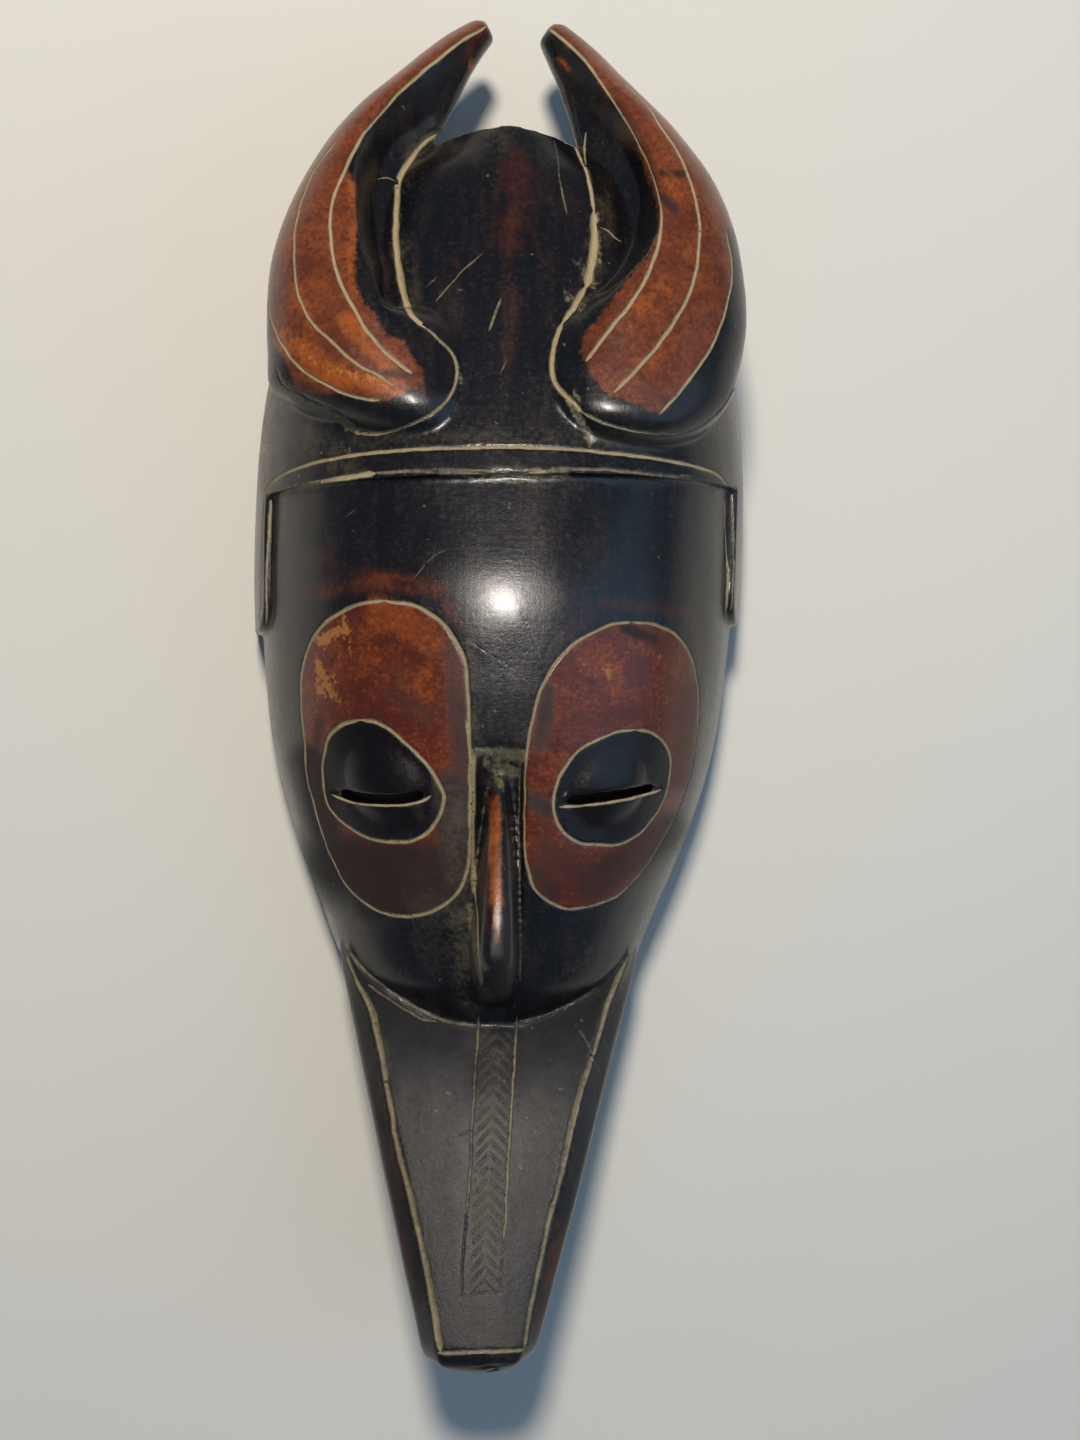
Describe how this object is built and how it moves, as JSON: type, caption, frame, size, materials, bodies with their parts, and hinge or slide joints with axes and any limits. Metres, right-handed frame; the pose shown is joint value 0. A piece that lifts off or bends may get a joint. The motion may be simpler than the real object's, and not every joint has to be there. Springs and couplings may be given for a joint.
{
  "type": "horned face mask",
  "caption": "Carved wooden animal face mask with horns that curve in over a domed crown, narrow slit eyes, a thin nose and a long flat snout, hollowed at the back.",
  "frame": {"origin": "middle of the box round the mask, at the height of its back rim", "axes": "+Y from the snout to the horn tips, +X to the viewer's right, +Z the way the face looks"},
  "size_m": [0.1594, 0.42, 0.0889],
  "materials": {
    "mask": "carved hardwood stained black brown and waxed, red brown on the horns and round the eyes, ochre dust in the engraved lines"
  },
  "bodies": {
    "root": {"mask": "mask"}
  },
  "joints": []
}
